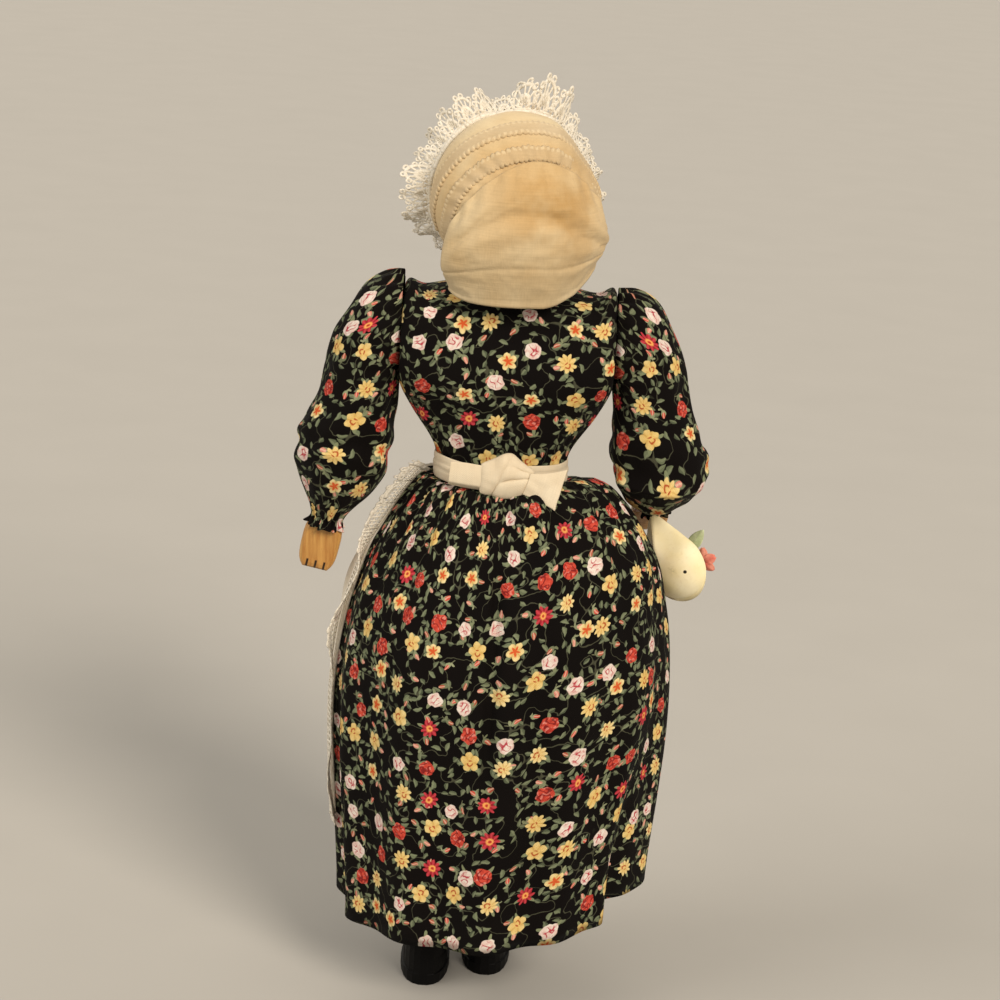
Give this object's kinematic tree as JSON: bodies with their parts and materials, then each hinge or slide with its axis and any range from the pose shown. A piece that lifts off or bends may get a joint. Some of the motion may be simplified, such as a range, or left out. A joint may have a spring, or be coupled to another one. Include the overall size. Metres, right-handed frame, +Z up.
{
  "type": "walnut head doll",
  "caption": "Standing folk doll with a walnut-shell head, lace-edged bonnet, flowered dress, apron and a flower basket; head turns, arms swing and bend.",
  "frame": {"origin": "middle of the doll's box in plan, on the floor under its soles", "axes": "+Z up through the head, -Y the way the doll's body faces, +X its left side"},
  "size_m": [0.1144, 0.078, 0.2472],
  "materials": {
    "stuffing": "unbleached cotton",
    "calico": "black cotton with a small flower print",
    "apron_cotton": "plain white cotton",
    "muslin": "yellowed thin muslin",
    "lace": "cotton lace",
    "nut_shell": "dry shell, lightly waxed",
    "wool": "combed wool",
    "pale_wood": "clear satin",
    "black_paint": "black satin paint",
    "wire": "soft annealed wire",
    "basket_shell": "smooth pale shell",
    "moss": "dried moss",
    "red_petal": "stiffened cloth",
    "pink_petal": "stiffened cloth",
    "yellow_petal": "stiffened cloth",
    "leaf_green": "stiffened cloth"
  },
  "bodies": {
    "torso": {"torso_core": "stuffing", "neck_peg": "pale_wood", "shoulder_wire": "wire", "dress_bodice": "calico", "dress_collar": "calico", "dress_skirt": "calico", "apron_panel": "apron_cotton", "apron_lace": "lace", "sash_band": "apron_cotton", "sash_knot": "apron_cotton", "sash_tail_left": "apron_cotton", "sash_tail_right": "apron_cotton", "left_leg": "black_paint", "left_shoe": "black_paint", "right_leg": "black_paint", "right_shoe": "black_paint"},
    "head": {"walnut_head": "nut_shell", "hair_roll": "wool", "bonnet_crown": "muslin", "bonnet_front_band": "muslin", "bonnet_back_band": "muslin", "bonnet_lace": "lace", "bonnet_curtain": "muslin"},
    "left_upper_arm": {"left_upper_sleeve": "calico", "left_upper_arm_wire": "wire"},
    "left_forearm": {"left_lower_sleeve": "calico", "left_forearm_wire": "wire", "left_hand": "pale_wood"},
    "right_upper_arm": {"right_upper_sleeve": "calico", "right_upper_arm_wire": "wire"},
    "right_forearm": {"right_lower_sleeve": "calico", "right_forearm_wire": "wire", "right_hand": "pale_wood", "basket_shell": "basket_shell", "basket_moss": "moss", "basket_flower_red": "red_petal", "basket_flower_pink": "pink_petal", "basket_flower_yellow": "yellow_petal", "basket_leaf_upper": "leaf_green", "basket_leaf_lower": "leaf_green"}
  },
  "joints": [
    {"name": "head_turn", "type": "hinge", "parent": "torso", "child": "head", "pos_m": [0.00293, -0.00009, 0.218], "axis": [0, 0, 1], "range_deg": [-40, 30]},
    {"name": "left_shoulder_swing", "type": "hinge", "parent": "torso", "child": "left_upper_arm", "pos_m": [0.03093, -0.00009, 0.184], "axis": [-1, 0, 0], "range_deg": [-45, 90]},
    {"name": "left_elbow_bend", "type": "hinge", "parent": "left_upper_arm", "child": "left_forearm", "pos_m": [0.04473, -0.00009, 0.149], "axis": [-1, 0, 0], "range_deg": [-10, 85]},
    {"name": "right_shoulder_swing", "type": "hinge", "parent": "torso", "child": "right_upper_arm", "pos_m": [-0.02507, -0.00009, 0.184], "axis": [-1, 0, 0], "range_deg": [0, 60]},
    {"name": "right_elbow_bend", "type": "hinge", "parent": "right_upper_arm", "child": "right_forearm", "pos_m": [-0.03887, -0.00009, 0.149], "axis": [-1, 0, 0], "range_deg": [0, 40]}
  ]
}
